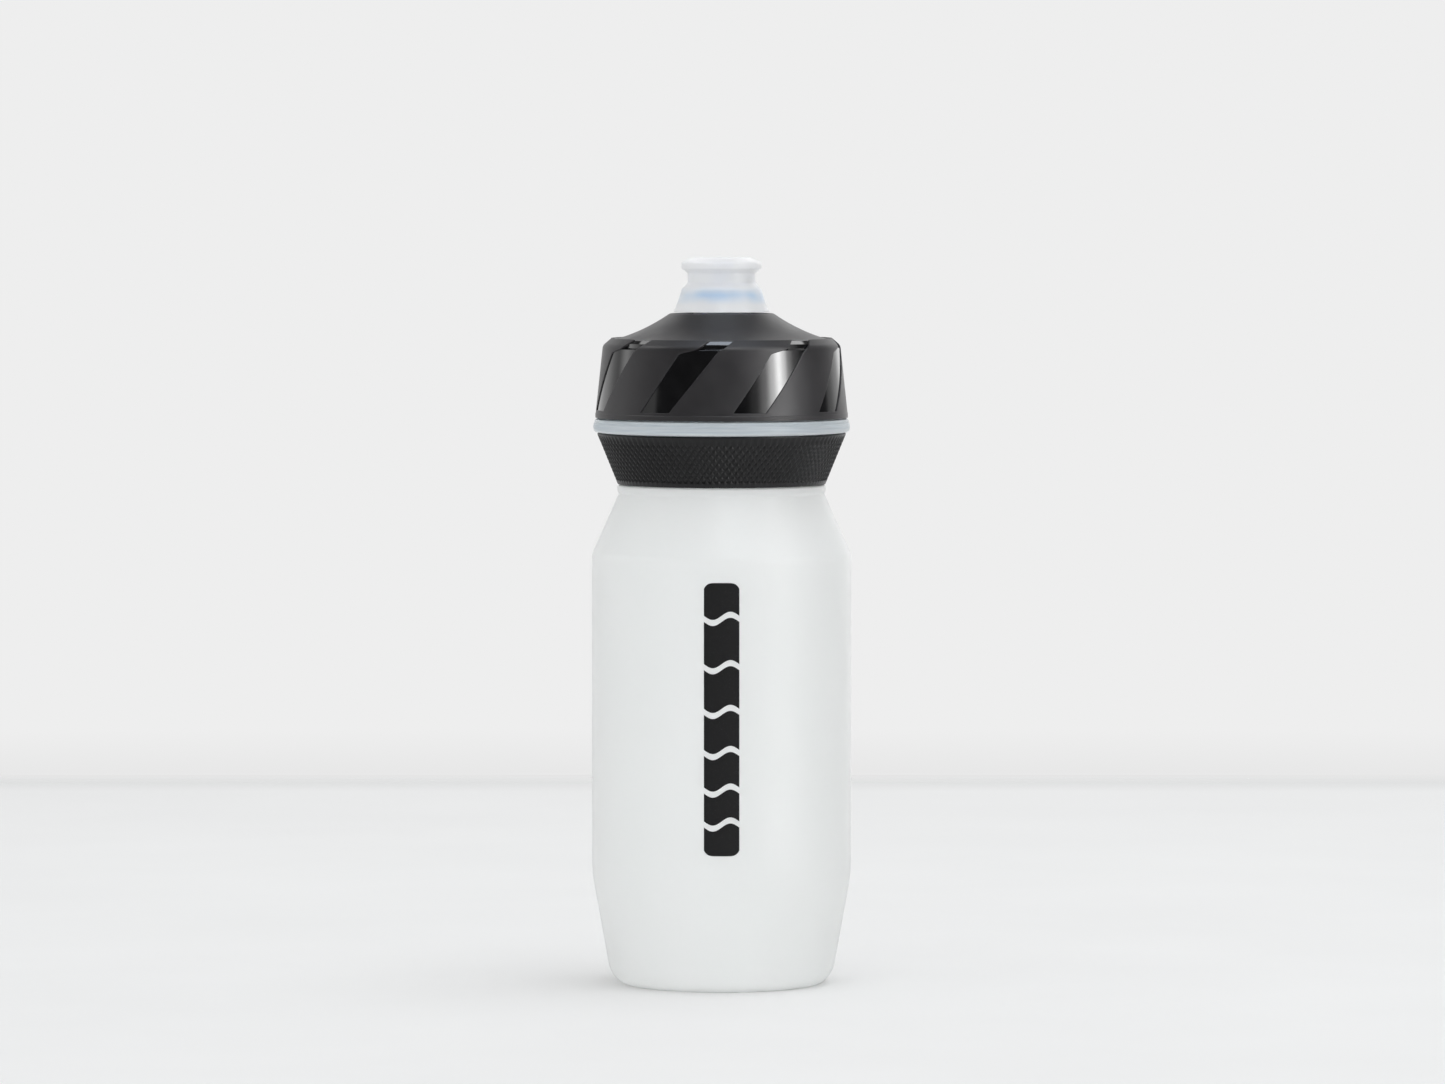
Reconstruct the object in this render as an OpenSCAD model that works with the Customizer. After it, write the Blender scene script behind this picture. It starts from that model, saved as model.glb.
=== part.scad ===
// Squeeze bottle for a bicycle bottle cage: a blown bottle, a rubber grip band, a screw cap and a push-pull spout.
// The origin is the centre of the foot ring, on the surface that the bottle stands on. +Z runs up the bottle's
// axis and -Y is the front, where the print is. Outlines are [radius, height] pairs that are turned about the axis.

/* [Bottle] */
// Outside diameter of the straight wall, which the bottle cage holds
body_d = 73.5; // [73:0.1:74]
// Wall thickness of the blown bottle
wall = 1.2; // [1:0.1:1.4]
// Outside radius of the flat ring that the bottle stands on
foot_r = 27; // [26:0.5:28]
// Width of that ring
foot_w = 1.5; // [1:0.1:2]
// Rise of the base's centre above the ring
base_rise = 3; // [2:0.5:4]
// Radius where the rounded heel meets the lower taper
heel_r = 32.15; // [31.8:0.05:32.4]
// Height where the rounded heel meets the lower taper
heel_z = 6; // [5:0.5:7]
// Height where the lower taper meets the straight wall
taper_z = 31.6; // [30:0.1:33]
// Height of the corner between the straight wall and the shoulder
shoulder_z = 121.9; // [121:0.1:123]
// Outside radius at the top of the shoulder
waist_r = 29.1; // [29:0.05:29.2]
// Height of the top of the shoulder
waist_z = 139.1; // [138.8:0.1:139.2]

/* [Grip band] */
// Height of the band's lower edge
band_z0 = 141.7; // [141.7:0.1:142.2]
// Height of the band's upper edge
band_z1 = 156.25; // [155.5:0.05:156.3]
// Outside radius at the band's lower edge
band_r0 = 29.4; // [29.2:0.1:29.6]
// Outside radius at the band's upper edge
band_r1 = 35.35; // [35:0.05:35.6]
// Thickness of the rubber, measured level
band_t = 1.8; // [1.5:0.1:2]

/* [Neck] */
// Outside radius of the flange that the cap closes down to
flange_r = 36.3; // [36:0.1:36.5]
// Height of the underside of that flange
flange_z0 = 156.6; // [156.5:0.1:156.8]
// Height of the top of that flange
flange_z1 = 160.2; // [159.8:0.1:160.3]
// Outside radius of the neck below its thread
neck_r = 29; // [28.8:0.1:29]
// Radius of the mouth
mouth_r = 27.3; // [27:0.1:27.4]
// Height of the mouth's rim
rim_z = 178.6; // [178:0.1:178.7]

/* [Thread] */
// Rise of the single-start right-hand thread in one turn
lead = 6; // [5.5:0.1:6.5]
// Turns of thread on the neck, and as many in the cap
thread_turns = 1.6; // [1.2:0.1:1.7]
// Height of the neck's thread where it starts
thread_z = 166; // [165.5:0.1:166.5]
// How far each thread stands out of its wall
thread_h = 1.4; // [1.2:0.1:1.5]
// Radial gap between each thread's crest and the wall that it faces
thread_gap = 0.4; // [0.3:0.05:0.5]
// Gap between the flanks of the two threads with the cap closed
flank_gap = 0.35; // [0.25:0.05:0.5]

/* [Cap] */
// Height of the cap's lower edge
cap_z0 = 160.6; // [160.5:0.1:160.9]
// Outside radius of the rim round the cap's lower edge
cap_r0 = 35.75; // [35.6:0.05:35.9]
// Height of that rim
cap_rim_h = 1.4; // [1:0.1:1.6]
// How much the skirt's radius shrinks for each millimetre of height
skirt_slope = 0.107; // [0.1:0.001:0.115]
// Height of the skirt's upper corner
skirt_z1 = 181; // [180.8:0.1:181.1]
// Radius of the lip where the skirt's bevel ends
lip_r = 31.4; // [31.3:0.1:31.5]
// Height of that lip
lip_z = 183.05; // [183:0.05:183.2]
// Thickness of the soft layer moulded over the skirt
layer_t = 1; // [0.8:0.1:1.1]
// Radius of the cap's flat top
top_r = 14.7; // [14.5:0.1:15]
// Height of the cap's flat top
top_z = 190; // [189.8:0.1:190.1]
// Thickness of the gasket under the deck
gasket_t = 1.5; // [1.2:0.1:1.6]

/* [Flutes] */
// Number of slanted windows in the soft layer
flute_n = 8; // [6:1:9]
// Width of a window's lower edge, in degrees about the axis
flute_w = 15.1; // [13:0.1:17]
// How far a window's left edge leans for each millimetre of height, in degrees about the axis
flute_lean = 1.15; // [1:0.01:1.3]
// How much wider a window grows for each millimetre of height, in degrees about the axis
flute_flare = 0.18; // [0:0.01:0.2]
// Height of the windows' lower edge
flute_z0 = 162.8; // [162.4:0.1:163.5]
// Angle from the front to the left end of the first window's lower edge
flute_start = 5.3; // [0:0.1:44]

/* [Spout] */
// Radius of the well in the cap's top that the nozzle slides in
well_r = 10.4; // [10.2:0.1:10.8]
// Height of the well's floor
well_z = 182.6; // [182.4:0.1:182.7]
// Thickness of the well's floor
well_floor = 1.4; // [1.2:0.1:1.6]
// Radius of the post's stem
stem_r = 6.9; // [6.8:0.05:6.95]
// Radius of the collar that stops the nozzle
collar_r = 7.75; // [7.7:0.01:7.78]
// Height of the collar's underside
collar_z0 = 191.1; // [191:0.1:191.2]
// Height of the top of the collar
collar_z1 = 194; // [193.8:0.1:194.2]
// Radius of the flow channel through the post
flow_r = 5.4; // [5.2:0.1:5.5]
// Radius of the nozzle core's bore
bore_r = 7.9; // [7.9:0.01:7.92]
// Radius of the outlet through the nozzle core
outlet_r = 3.12; // [3.1:0.01:3.15]
// Radius of the plug's tip, which closes the outlet
tip_r = 3.05; // [3:0.01:3.05]
// Height of the top of the nozzle, pushed shut
nozzle_z1 = 205.8; // [205.6:0.1:206]

/* [Hidden] */
$fn = 96;
body_r = body_d / 2;
flat = 0.6; // width of small chamfers

// Bottle
taper_slope = (body_r - heel_r) / (taper_z - heel_z);
heel_swell = heel_r - foot_r - taper_slope * heel_z;
waist_in_z = waist_z + 2.4; // lower end of the cone under the grip band
waist_out_z = flange_z0 - 0.1; // upper end of that cone
band_slope = (band_r1 - band_r0) / (band_z1 - band_z0);
bead_r = waist_r + 0.4;

// Thread
root_sink = 0.4; // how deep a thread's root is buried in its wall
crest_w = 1;
root_w = crest_w + 2 * (thread_h + root_sink) * tan(24);
crest_r = neck_r + thread_h; // of the neck's thread
cap_bore_r = crest_r + thread_gap;
cap_crest_r = cap_bore_r - thread_h;
thread_fade = 4; // steps over which a thread's ends sink into the wall
thread_steps = 36; // steps in a turn
mesh_r = (crest_r + cap_crest_r) / 2; // where the two threads' flanks are compared
flank_w = crest_w + (root_w - crest_w) * (crest_r - mesh_r) / (thread_h + root_sink);
thread_drop = flank_w + flank_gap; // how far the cap's thread lies under the neck's
cap_thread_start = -30;

// Cap
cap_rim_z = cap_z0 + cap_rim_h;
seat_z = rim_z + gasket_t + 0.2; // underside of the deck, over the gasket
seat_r = mouth_r - 1.3;
cone_r = lip_r - 0.4; // where the cone meets the lip
cone_z = lip_z - 0.6;
well_wall = 1.6;
rim_step = 0.1; // how far the cap's rim stands out from the skirt
ledge_z = skirt_z1 - 0.5; // ledge at the top of each flute
riser_r = lip_r + 0.75; // short wall between that ledge and the lip
flute_turn_z = skirt_z1 - 1.6; // where a window's upper left corner starts
flute_bevel_lean = 2.5; // lean of both edges across the bevel, in degrees per millimetre
flute_corner = 5.5; // how far the upper left corner cuts into the window, in degrees
flute_top_z = lip_z + 1;
flute_centre = flute_start + flute_w / 2 + flute_lean * (flute_turn_z - flute_z0) / 2;

// Spout
stem_gap = 0.05; // round the stem in the well's floor
post_flange_r = 10.8;
post_flange_t = 1.8;
post_flange_z = well_z - well_floor; // top of the flange, against the floor
deck_seal_r = 9.2;
deck_seal_w = 1.2;
slide_seal_w = 1.3;
slide_seal_out = bore_r - 0.06;
slide_seal_z = (collar_z0 + collar_z1) / 2;
plug_ring_h = 2.8;
plug_wall = 0.7;
pin_r = 2.1;
tip_z0 = nozzle_z1 - 2.9;
tip_z1 = nozzle_z1 - 0.6;
core_z0 = well_z + 0.7;
core_lip_h = 1.1;
core_r = bore_r + 0.82;
core_z1 = nozzle_z1 - 1.2;
head_r = core_r + 1.2;
roof_z0 = nozzle_z1 - 7.6; // where the core's bore narrows to the outlet
roof_z1 = nozzle_z1 - 3.2;
bell_z0 = top_z + 0.5;
bell_r = 13.6;
hug_z = nozzle_z1 - 8.2; // lowest place where the sleeve hugs the core

// A list's items in the opposite order.
function backwards(v) = [for (i = [len(v) - 1:-1:0]) v[i]];

// A smooth curve from a to c that leaves a towards b and reaches c from b.
function bend(a, b, c, n = 6) =
    [for (i = [0:n]) let (t = i / n) (1 - t) * (1 - t) * a + 2 * t * (1 - t) * b + t * t * c];

// The rounded corner of the path a-b-c, cut back from b by the same length on both sides.
function corner(a, b, c, cut, n = 4) =
    bend(b + cut * (a - b) / norm(a - b), b, b + cut * (c - b) / norm(c - b), n);

// The bottle's blown wall from the base's centre to the top of the shoulder, moved inward by d.
function blown_wall(d) =
    let (dome_a = foot_r - foot_w,
         dome_r = (dome_a * dome_a + base_rise * base_rise) / (2 * base_rise),
         dome_end = asin(dome_a / dome_r),
         heel = [heel_r - d, heel_z],
         taper = [body_r - d, taper_z],
         shoulder = [body_r - d, shoulder_z],
         waist = [waist_r - d, waist_z])
    concat([for (i = [0:4]) let (a = dome_end * i / 4)
               [dome_r * sin(a), d + base_rise - dome_r * (1 - cos(a))]],
           [for (t = [0:15:75]) let (z = d + (heel_z - d) * (1 - cos(t)))
               [foot_r + (heel_swell - d) * sin(t) + taper_slope * z, z]],
           [heel],
           corner(heel, taper, shoulder, 4.5),
           corner(taper, shoulder, waist, 2.6),
           [waist]);

// Radius of the cone under the grip band at height z.
function waist_cone(z) = band_r0 - band_t + band_slope * (z - band_z0);

// Radius of the skirt's outside at height z.
function skirt_r(z) = cap_r0 - rim_step - skirt_slope * (z - cap_rim_z);

// The outside of the soft layer, from its lower edge to the lip.
skirt_line =
    let (low = [skirt_r(cap_rim_z), cap_rim_z],
         high = [skirt_r(skirt_z1), skirt_z1],
         lip = [lip_r, lip_z])
    concat([[cap_r0, cap_z0], [cap_r0, cap_rim_z - 0.2], low], corner(low, high, lip, 0.7), [lip]);

// The outside of the hard skirt under that layer, with the ledge and riser that show at the top of each flute.
shell_line =
    let (low = [cap_r0 - layer_t, cap_rim_z],
         high = [skirt_r(ledge_z) - layer_t, ledge_z],
         ledge = [riser_r + 0.1, ledge_z + 0.25])
    concat([[cap_r0 - layer_t, cap_z0], low], corner(low, high, ledge, 0.4),
           [ledge, [riser_r, lip_z - 1.05], [lip_r - 0.25, lip_z - 0.25]]);

// Angle from the front to the first window's edge at height z; side is -1 on the left and 1 on the right.
function flute_angle(z, side) =
    let (base = flute_start + (side > 0 ? flute_w : 0),
         lean = flute_lean + (side > 0 ? flute_flare : 0),
         turn = min(z, flute_turn_z) - flute_z0)
    base + lean * turn + flute_bevel_lean * max(0, z - flute_turn_z) + (side < 0 && z > ledge_z ? flute_corner : 0);

// A point of a window's outline, seen square on from outside.
function flute_edge(z, side) = [skirt_r(z) * sin(flute_angle(z, side) - flute_centre), z];

// The outside of the nozzle core, from its lower end to the outlet.
core_line = concat([[core_r, core_z0], [core_r, core_z1 - 2.2]],
                   [[head_r, core_z1 - 1.4], [head_r, core_z1 - flat], [head_r - flat, core_z1]]);

// The outside of the nozzle sleeve, from the bell's lower edge to its flat top.
sleeve_line = concat(bend([bell_r, bell_z0], [12.2, 193.4], [11.25, 196.9]),
                     [[9.57, nozzle_z1 - 7.1]],
                     corner([9.57, nozzle_z1 - 7.1], [9.57, nozzle_z1 - 4.2], [11.33, nozzle_z1 - 3.1], 0.5),
                     corner([9.57, nozzle_z1 - 4.2], [11.33, nozzle_z1 - 3.1], [11.33, nozzle_z1 - 1.3], 0.6),
                     corner([11.33, nozzle_z1 - 3.1], [11.33, nozzle_z1 - 1.3], [7.8, nozzle_z1], 0.5),
                     [[7.8, nozzle_z1]]);

// An outline turned about the axis.
module turned(line) {
    rotate_extrude()
        polygon(line);
}

// A ring of round section; r is the radius of its section's centre.
module seal_ring(r, z, w) {
    translate([0, 0, z])
        rotate_extrude()
            translate([r, 0])
                circle(d = w, $fn = 32);
}

// One thread ridge wound up the axis from height z at angle start, on a wall of radius wall_r.
// side is 1 on the outside of a neck and -1 on the inside of a cap.
module thread_ridge(wall_r, side, z, start) {
    steps = round(thread_turns * thread_steps);
    root_r = wall_r - side * root_sink;
    depth = thread_h + root_sink;
    rings = [for (i = [0:steps])
        let (rise = max(0.15, min(1, i / thread_fade, (steps - i) / thread_fade)),
             tip_r = root_r + side * depth * rise,
             line = [[root_r, -root_w / 2], [tip_r, -crest_w / 2], [tip_r, crest_w / 2], [root_r, root_w / 2]],
             angle = start + 360 * i / thread_steps,
             lift = z + lead * i / thread_steps)
        for (p = side > 0 ? line : backwards(line))
            [p[0] * cos(angle), p[0] * sin(angle), lift + p[1]]];
    sides = [for (i = [0:steps - 1], k = [0:3])
        let (a = 4 * i + k, b = 4 * i + (k + 1) % 4)
        for (face = [[a, b, b + 4], [a, b + 4, a + 4]])
            face];
    first = [[0, 3, 2], [0, 2, 1]];
    last = [for (face = first) [for (v = backwards(face)) 4 * steps + v]];
    polyhedron(rings, concat(sides, first, last), convexity = 4);
}

// The blown bottle: foot ring, straight wall, shoulder, banded waist, flange and threaded neck.
module bottle_body() {
    waist_bead = [[bead_r, waist_z + 0.8], [bead_r, waist_z + 1.9], [bead_r - 0.4, waist_in_z]];
    band_seat = [[waist_cone(waist_in_z), waist_in_z], [waist_cone(waist_out_z), waist_out_z]];
    flange = [[flange_r - flat, flange_z0 - 0.05], [flange_r, flange_z0 + flat],
              [flange_r, flange_z1 - 1.2], [flange_r - 0.3, flange_z1 - 1], [flange_r - 0.3, flange_z1 - 0.5],
              [flange_r - 0.8, flange_z1]];
    neck = [[neck_r, flange_z1], [neck_r, rim_z - 0.5], [neck_r - 0.5, rim_z],
            [mouth_r + 0.4, rim_z], [mouth_r, rim_z - 0.4], [mouth_r, flange_z1]];
    inner_waist = [[waist_cone(waist_out_z) - 1.4 * wall, waist_out_z - wall],
                   [waist_cone(waist_in_z) - wall, waist_in_z]];
    color([0.86, 0.88, 0.87])
        union() {
            turned(concat(blown_wall(0), waist_bead, band_seat, flange, neck, inner_waist,
                          backwards(blown_wall(wall))));
            thread_ridge(neck_r, 1, thread_z, 0);
        }
}

// The rubber band stretched over the bottle's waist.
module grip_band() {
    edge = 0.25;
    color([0.16, 0.16, 0.17])
        turned([[waist_cone(band_z0), band_z0], [band_r0 - edge, band_z0], [band_r0 + edge / 2, band_z0 + edge],
                [band_r1 - edge / 2, band_z1 - 2 * edge], [band_r1, band_z1 - edge], [band_r1 - edge, band_z1],
                [waist_cone(band_z1), band_z1]]);
}

// The flat gasket under the cap's deck, which the neck's rim seals against.
module cap_gasket() {
    inner = mouth_r - 0.3;
    outer = neck_r + 1.3;
    low = rim_z + 0.1;
    color([0.8, 0.82, 0.83])
        turned([[inner, low], [outer, low], [outer, low + gasket_t], [inner, low + gasket_t]]);
}

// The hard cap: threaded skirt, cone, well and the deck over the gasket.
module cap_shell() {
    cone = bend([cone_r, cone_z], [22.3, 184.7], [top_r, top_z], 10);
    well = [[well_r + 0.5, top_z], [well_r, top_z - 0.5], [well_r, well_z], [stem_r + stem_gap, well_z],
            [stem_r + stem_gap, post_flange_z], [well_r + well_wall, post_flange_z]];
    underside = bend([well_r + well_wall, top_z - 1.8], [20.5, 183.3], [seat_r, seat_z + 1.5]);
    deck = [[seat_r, seat_z], [cap_bore_r, seat_z], [cap_bore_r, cap_z0 + 0.8], [cap_bore_r + flat, cap_z0]];
    color([0.1, 0.1, 0.11])
        union() {
            turned(concat(shell_line, cone, well, underside, deck));
            thread_ridge(cap_bore_r, -1, thread_z - thread_drop + lead * cap_thread_start / 360,
                         cap_thread_start);
        }
}

// The soft layer moulded over the skirt, open at the slanted windows.
module cap_grip() {
    color([0.22, 0.22, 0.24])
        difference() {
            turned(concat(skirt_line, [[lip_r - 0.25, lip_z]], backwards(shell_line)));
            for (i = [0:flute_n - 1])
                rotate([0, 0, flute_centre + 360 * i / flute_n])
                    flute_cutter();
        }
}

// The block that cuts one slanted window through the soft layer at the front.
module flute_cutter() {
    right = [flute_z0, flute_turn_z, flute_top_z];
    left = [flute_top_z, ledge_z + 0.01, flute_turn_z, flute_z0];
    rotate([90, 0, 0])
        linear_extrude(height = cap_r0 + 5)
            polygon(concat([for (z = right) flute_edge(z, 1)], [for (z = left) flute_edge(z, -1)]));
}

// The clear tube that carries the nozzle, snapped through the well's floor from below.
module spout_post() {
    low = post_flange_z - post_flange_t;
    seal_in = deck_seal_r - deck_seal_w / 2 - 0.1;
    seal_out = deck_seal_r + deck_seal_w / 2 + 0.1;
    seal_low = post_flange_z - deck_seal_w;
    ring_low = slide_seal_z - slide_seal_w / 2 - 0.1;
    ring_high = slide_seal_z + slide_seal_w / 2 + 0.1;
    ring_in = slide_seal_out - slide_seal_w;
    flange = [[flow_r, low], [post_flange_r, low], [post_flange_r, post_flange_z], [seal_out, post_flange_z],
              [seal_out, seal_low], [seal_in, seal_low], [seal_in, post_flange_z]];
    snap = [[stem_r, post_flange_z], [stem_r, well_z], [stem_r + 0.3, well_z + 0.05], [stem_r, well_z + 0.4]];
    collar = [[stem_r, collar_z0], [collar_r, collar_z0], [collar_r, ring_low], [ring_in, ring_low],
              [ring_in, ring_high], [collar_r, ring_high], [collar_r, collar_z1], [flow_r, collar_z1]];
    color([0.85, 0.88, 0.9])
        turned(concat(flange, snap, collar));
}

// The ring that seals the post's flange against the cap.
module deck_seal() {
    color([0.12, 0.12, 0.12])
        seal_ring(deck_seal_r, post_flange_z - deck_seal_w / 2, deck_seal_w);
}

// The ring that the nozzle slides on.
module slide_seal() {
    color([0.8, 0.82, 0.83])
        seal_ring(slide_seal_out - slide_seal_w / 2, slide_seal_z, slide_seal_w);
}

// The plug: a ring on top of the post, three arms, and a pin whose tip closes the outlet.
module flow_plug() {
    inner = flow_r - plug_wall;
    spigot_r = flow_r - 0.05;
    spigot_z = collar_z1 - 1.6;
    arm_w = 1.8;
    arm_z0 = collar_z1 + 0.4;
    arm_h = 2;
    color([0.36, 0.55, 0.85])
        union() {
            turned([[inner, spigot_z], [spigot_r, spigot_z], [spigot_r, collar_z1], [collar_r, collar_z1],
                    [collar_r, collar_z1 + plug_ring_h - 0.5], [collar_r - 0.5, collar_z1 + plug_ring_h],
                    [inner, collar_z1 + plug_ring_h]]);
            for (i = [0:2])
                rotate([0, 0, 120 * i + 30])
                    translate([0, -arm_w / 2, arm_z0])
                        cube([flow_r, arm_w, arm_h]);
            turned([[0, arm_z0], [pin_r, arm_z0], [pin_r, tip_z0 - 0.8], [tip_r, tip_z0], [tip_r, tip_z1 - 0.5],
                    [tip_r - 0.5, tip_z1], [0, tip_z1]]);
        }
}

// The hard sleeve that slides on the post, with the stop lip at its lower end.
module nozzle_core() {
    lip_in = stem_r + 0.15;
    color([0.86, 0.89, 0.9])
        turned(concat([[lip_in, core_z0]], core_line,
                      [[outlet_r, core_z1], [outlet_r, roof_z1], [bore_r, roof_z0],
                       [bore_r, core_z0 + core_lip_h], [lip_in, core_z0 + core_lip_h]]));
}

// The soft mouthpiece over the core, with its bell-shaped skirt.
module nozzle_sleeve() {
    bell_wall = 1.2;
    color([0.88, 0.9, 0.92])
        turned(concat([[bell_r - bell_wall, bell_z0]], sleeve_line, [[outlet_r + 0.2, nozzle_z1]],
                      [[outlet_r + 0.2, core_z1]], backwards([for (p = core_line) if (p[1] > hug_z) p]),
                      [[core_r, hug_z]], [[10.3, hug_z - 1], [11, hug_z - 2.6]]));
}

bottle_body();
grip_band();
cap_gasket();
cap_shell();
cap_grip();
spout_post();
deck_seal();
slide_seal();
flow_plug();
nozzle_core();
nozzle_sleeve();
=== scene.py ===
"""Looks of a squeeze bottle for a bicycle cage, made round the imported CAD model.

The bottle's sizes are in millimetres, and MM turns them into Blender's metres. The stage, the lamps and the
camera are placed in metres. Angles are in degrees. An angle about the bottle's axis starts at the front (-Y)
and grows towards +X.
"""
import math
from functools import partial

import bpy
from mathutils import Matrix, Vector


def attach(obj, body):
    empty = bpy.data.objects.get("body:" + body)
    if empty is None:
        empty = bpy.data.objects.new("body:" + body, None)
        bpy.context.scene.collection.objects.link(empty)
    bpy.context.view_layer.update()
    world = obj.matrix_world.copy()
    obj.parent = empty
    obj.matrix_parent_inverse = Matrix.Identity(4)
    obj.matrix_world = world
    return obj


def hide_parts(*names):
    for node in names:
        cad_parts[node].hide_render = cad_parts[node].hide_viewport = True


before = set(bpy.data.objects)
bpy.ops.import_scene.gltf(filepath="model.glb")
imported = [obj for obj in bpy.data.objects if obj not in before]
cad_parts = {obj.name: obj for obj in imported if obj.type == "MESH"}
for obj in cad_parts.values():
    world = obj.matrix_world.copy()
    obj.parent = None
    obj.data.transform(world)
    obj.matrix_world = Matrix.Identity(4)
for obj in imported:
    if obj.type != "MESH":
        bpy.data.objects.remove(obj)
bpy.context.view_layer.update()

MM = 0.001
scene = bpy.context.scene


# ---------------------------------------------------------------- outlines and meshes

def turned(angle, r, z):
    """The point at that angle, radius and height, in metres."""
    a = math.radians(angle)
    return r * math.sin(a) * MM, -r * math.cos(a) * MM, z * MM


def blend(a, b, t):
    """The value t of the way from a to b."""
    return a + (b - a) * t


def smooth(low, high, x):
    """0 below low, 1 above high, and an even curve between them."""
    t = min(max((x - low) / (high - low), 0), 1)
    return t * t * (3 - 2 * t)


def rounded(points, step=9.0):
    """An outline whose points may have a third number, the radius that their corner is rounded to."""
    line = []
    for i, point in enumerate(points):
        here = Vector(point[:2])
        if len(point) == 2 or i in (0, len(points) - 1):
            line.append(here)
            continue
        back = Vector(points[i - 1][:2]) - here
        ahead = Vector(points[i + 1][:2]) - here
        turn = math.pi - back.angle(ahead)
        reach = min(point[2] * math.tan(turn / 2), 0.46 * back.length, 0.46 * ahead.length)
        radius = reach / math.tan(turn / 2)
        back.normalize()
        ahead.normalize()
        centre = here + (back + ahead).normalized() * math.hypot(reach, radius)
        start, end = here + back * reach - centre, here + ahead * reach - centre
        count = max(2, math.ceil(math.degrees(turn) / step))
        line.append(here + back * reach * 1.08)
        for k in range(count + 1):
            t = k / count
            arm = start * math.sin((1 - t) * turn) + end * math.sin(t * turn)
            line.append(centre + arm / math.sin(turn))
        line.append(here + ahead * reach * 1.08)
    return [(p[0], p[1]) for p in line]


def curve(a, b, c, count):
    """A smooth line of that many steps from a to c that leaves a towards b and reaches c from b."""
    line = []
    for k in range(count + 1):
        t = k / count
        line.append(tuple((1 - t) ** 2 * a[i] + 2 * t * (1 - t) * b[i] + t * t * c[i] for i in (0, 1)))
    return line


def rows(a, b, count):
    """Points from a to b, without a itself."""
    return [(blend(a[0], b[0], k / count), blend(a[1], b[1], k / count)) for k in range(1, count + 1)]


def refined(line, longest):
    """The line with its long stretches cut into steps no longer than that."""
    out = [line[0]]
    for a, b in zip(line, line[1:]):
        out += rows(a, b, max(1, math.ceil(math.dist(a, b) / longest)))
    return out


def put(name, data):
    """A new object in the scene."""
    made = bpy.data.objects.new(name, data)
    scene.collection.objects.link(made)
    return made


def piece(name, verts, faces, body, looks, paint=None, sharp=38):
    """A mesh piece that rides on a CAD body. paint gives each face's place in looks.

    Edges that turn by more than the angle sharp are creased, and all others are shaded smooth.
    """
    mesh = bpy.data.meshes.new(name)
    mesh.from_pydata(verts, [], faces)
    for look in looks:
        mesh.materials.append(look)
    if paint:
        mesh.polygons.foreach_set("material_index", paint)
    mesh.shade_smooth()
    mesh.set_sharp_from_angle(angle=math.radians(sharp))
    mesh.update()
    made = put(name, mesh)
    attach(made, body)
    return made


def lathe(outline, columns, shift=None, zone=None):
    """Vertices, faces and each face's zone for a closed outline of radii and heights turned about the axis.

    shift(angle, r, z) gives a point's own radius. zone(r, z) numbers the face between a point and the next.
    """
    verts, faces, zones, rings = [], [], [], []
    for r, z in outline:
        count = 1 if r < 1e-6 else columns
        rings.append([len(verts) + c for c in range(count)])
        for c in range(count):
            angle = 360 * c / columns
            verts.append(turned(angle, shift(angle, r, z) if shift else r, z))
    for i, ring in enumerate(rings):
        after = rings[(i + 1) % len(rings)]
        if len(ring) == len(after) == 1:
            continue
        middle = [(outline[i][k] + outline[(i + 1) % len(rings)][k]) / 2 for k in (0, 1)]
        number = zone(*middle) if zone else 0
        for c in range(columns):
            d = (c + 1) % columns
            if len(ring) == 1:
                faces.append((ring[0], after[d], after[c]))
            elif len(after) == 1:
                faces.append((ring[c], ring[d], after[0]))
            else:
                faces.append((ring[c], ring[d], after[d], after[c]))
            zones.append(number)
    return verts, faces, zones


# ---------------------------------------------------------------- materials

def add_node(tree, kind, settings=None, **links):
    """A new node, with its settings and with each named input set to a value or linked to a socket.

    An input goes by its own name, with _ for a space, or by the letter i and its number.
    """
    made = tree.nodes.new(kind)
    for key, value in (settings or {}).items():
        setattr(made, key, value)
    for key, value in links.items():
        socket = made.inputs[int(key[1:]) if key[0] == "i" and key[1:].isdigit() else key.replace("_", " ")]
        if isinstance(value, bpy.types.NodeSocket):
            tree.links.new(value, socket)
        else:
            socket.default_value = value
    return made


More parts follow.
